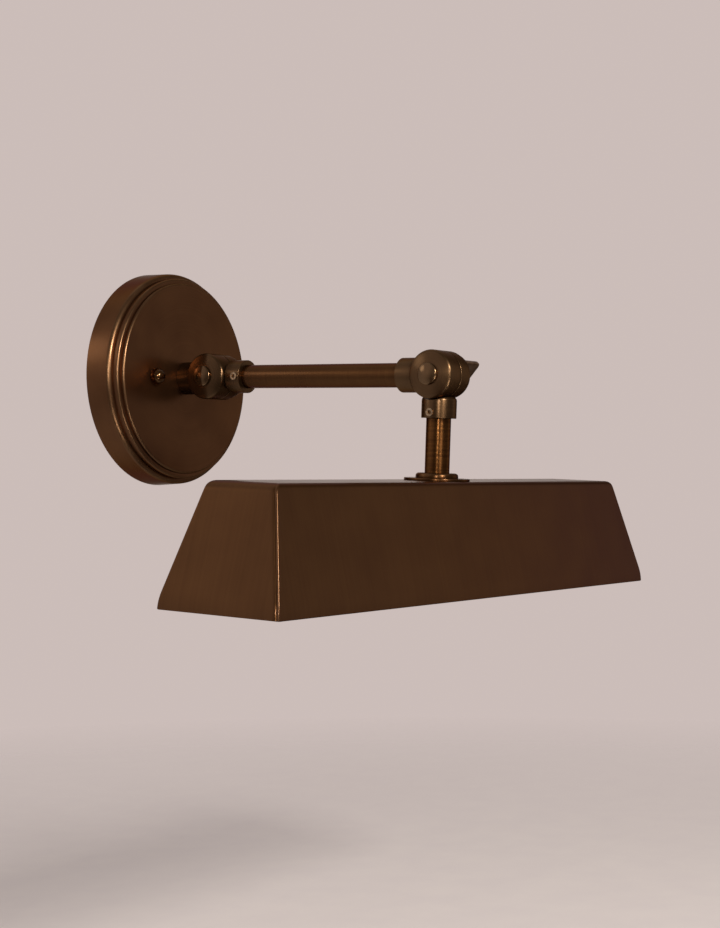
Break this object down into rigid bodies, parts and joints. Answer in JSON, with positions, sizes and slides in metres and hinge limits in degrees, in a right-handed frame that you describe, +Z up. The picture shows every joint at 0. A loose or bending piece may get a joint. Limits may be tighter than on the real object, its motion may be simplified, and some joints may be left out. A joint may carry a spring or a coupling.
{
  "type": "wall sconce",
  "caption": "Wall light with a round stepped back plate, a tube arm on clamped tilting swivels and a long open-bottomed trough shade on a short stem, in aged bronze.",
  "frame": {"origin": "centre of the back plate on the wall plane", "axes": "+Y into the wall, +X along the wall to the right as seen from the room, +Z up"},
  "size_m": [0.3564, 0.2137, 0.1775],
  "materials": {
    "aged_bronze": "aged satin bronze, fine brush lines, worn pale edges",
    "stem_brass": "aged golden brass with fine lengthwise lines",
    "bright_brass": "bright brass",
    "zinc_steel": "zinc-plated steel",
    "lampholder_black": "moulded black plastic",
    "terminal_white": "moulded off-white plastic",
    "opal_glass": "frosted opal glass",
    "lead_sheath": "dark lead sheath",
    "fibre": "vulcanised fibre",
    "ground_green": "green passivated screw"
  },
  "bodies": {
    "wall_base": {"plate_face": "aged_bronze", "plate_rim": "aged_bronze", "crossbar": "zinc_steel", "plate_studs": "zinc_steel", "ball_nuts": "bright_brass", "ground_screw": "ground_green", "terminal_block": "terminal_white", "terminal_screws": "bright_brass", "plate_lead": "lead_sheath", "plate_nipple": "zinc_steel", "plate_nipple_washer": "zinc_steel", "plate_nipple_nut": "zinc_steel", "wall_swivel": "aged_bronze", "wall_swivel_screw": "bright_brass", "wall_swivel_bolt": "aged_bronze", "wall_friction_washer": "fibre", "wall_cup_washer": "aged_bronze"},
    "arm": {"arm_inner_swivel": "aged_bronze", "arm_inner_screw": "bright_brass", "arm_tube": "aged_bronze", "arm_lead": "lead_sheath", "arm_outer_swivel": "aged_bronze", "arm_outer_screw": "bright_brass", "shade_swivel_bolt": "aged_bronze", "shade_friction_washer": "fibre", "shade_cup_washer": "aged_bronze"},
    "shade": {"shade_swivel": "aged_bronze", "shade_swivel_screw": "bright_brass", "stem": "stem_brass", "stem_lead": "lead_sheath", "stem_ring": "aged_bronze", "stem_flange": "aged_bronze", "stem_nipple": "zinc_steel", "shade_top": "aged_bronze", "shade_front": "aged_bronze", "shade_rear": "aged_bronze", "shade_left_end": "aged_bronze", "shade_right_end": "aged_bronze", "shade_washer": "zinc_steel", "lamp_bracket": "zinc_steel", "stem_nipple_nut": "zinc_steel", "lampholder_leads": "lead_sheath", "lampholder_right": "lampholder_black", "lamp_cap_right": "bright_brass", "lamp_glass_right": "opal_glass", "lampholder_left": "lampholder_black", "lamp_cap_left": "bright_brass", "lamp_glass_left": "opal_glass", "lampholder_screws": "zinc_steel"},
    "wall_key": {"wall_key": "aged_bronze"},
    "shade_key": {"shade_key": "aged_bronze"}
  },
  "joints": [
    {"name": "arm_tilt", "type": "hinge", "parent": "wall_base", "child": "arm", "pos_m": [0, -0.0419, 0], "axis": [1, 0, 0], "range_deg": [-80, 45]},
    {"name": "shade_tilt", "type": "hinge", "parent": "arm", "child": "shade", "pos_m": [0, -0.1864, -0.0053], "axis": [1, 0, 0], "range_deg": [-100, 12]},
    {"name": "wall_key_turn", "type": "hinge", "parent": "wall_base", "child": "wall_key", "pos_m": [0, -0.0419, 0], "axis": [1, 0, 0], "range_deg": [0, 270]},
    {"name": "shade_key_turn", "type": "hinge", "parent": "arm", "child": "shade_key", "pos_m": [0, -0.1864, -0.0053], "axis": [1, 0, 0], "range_deg": [0, 270]}
  ]
}
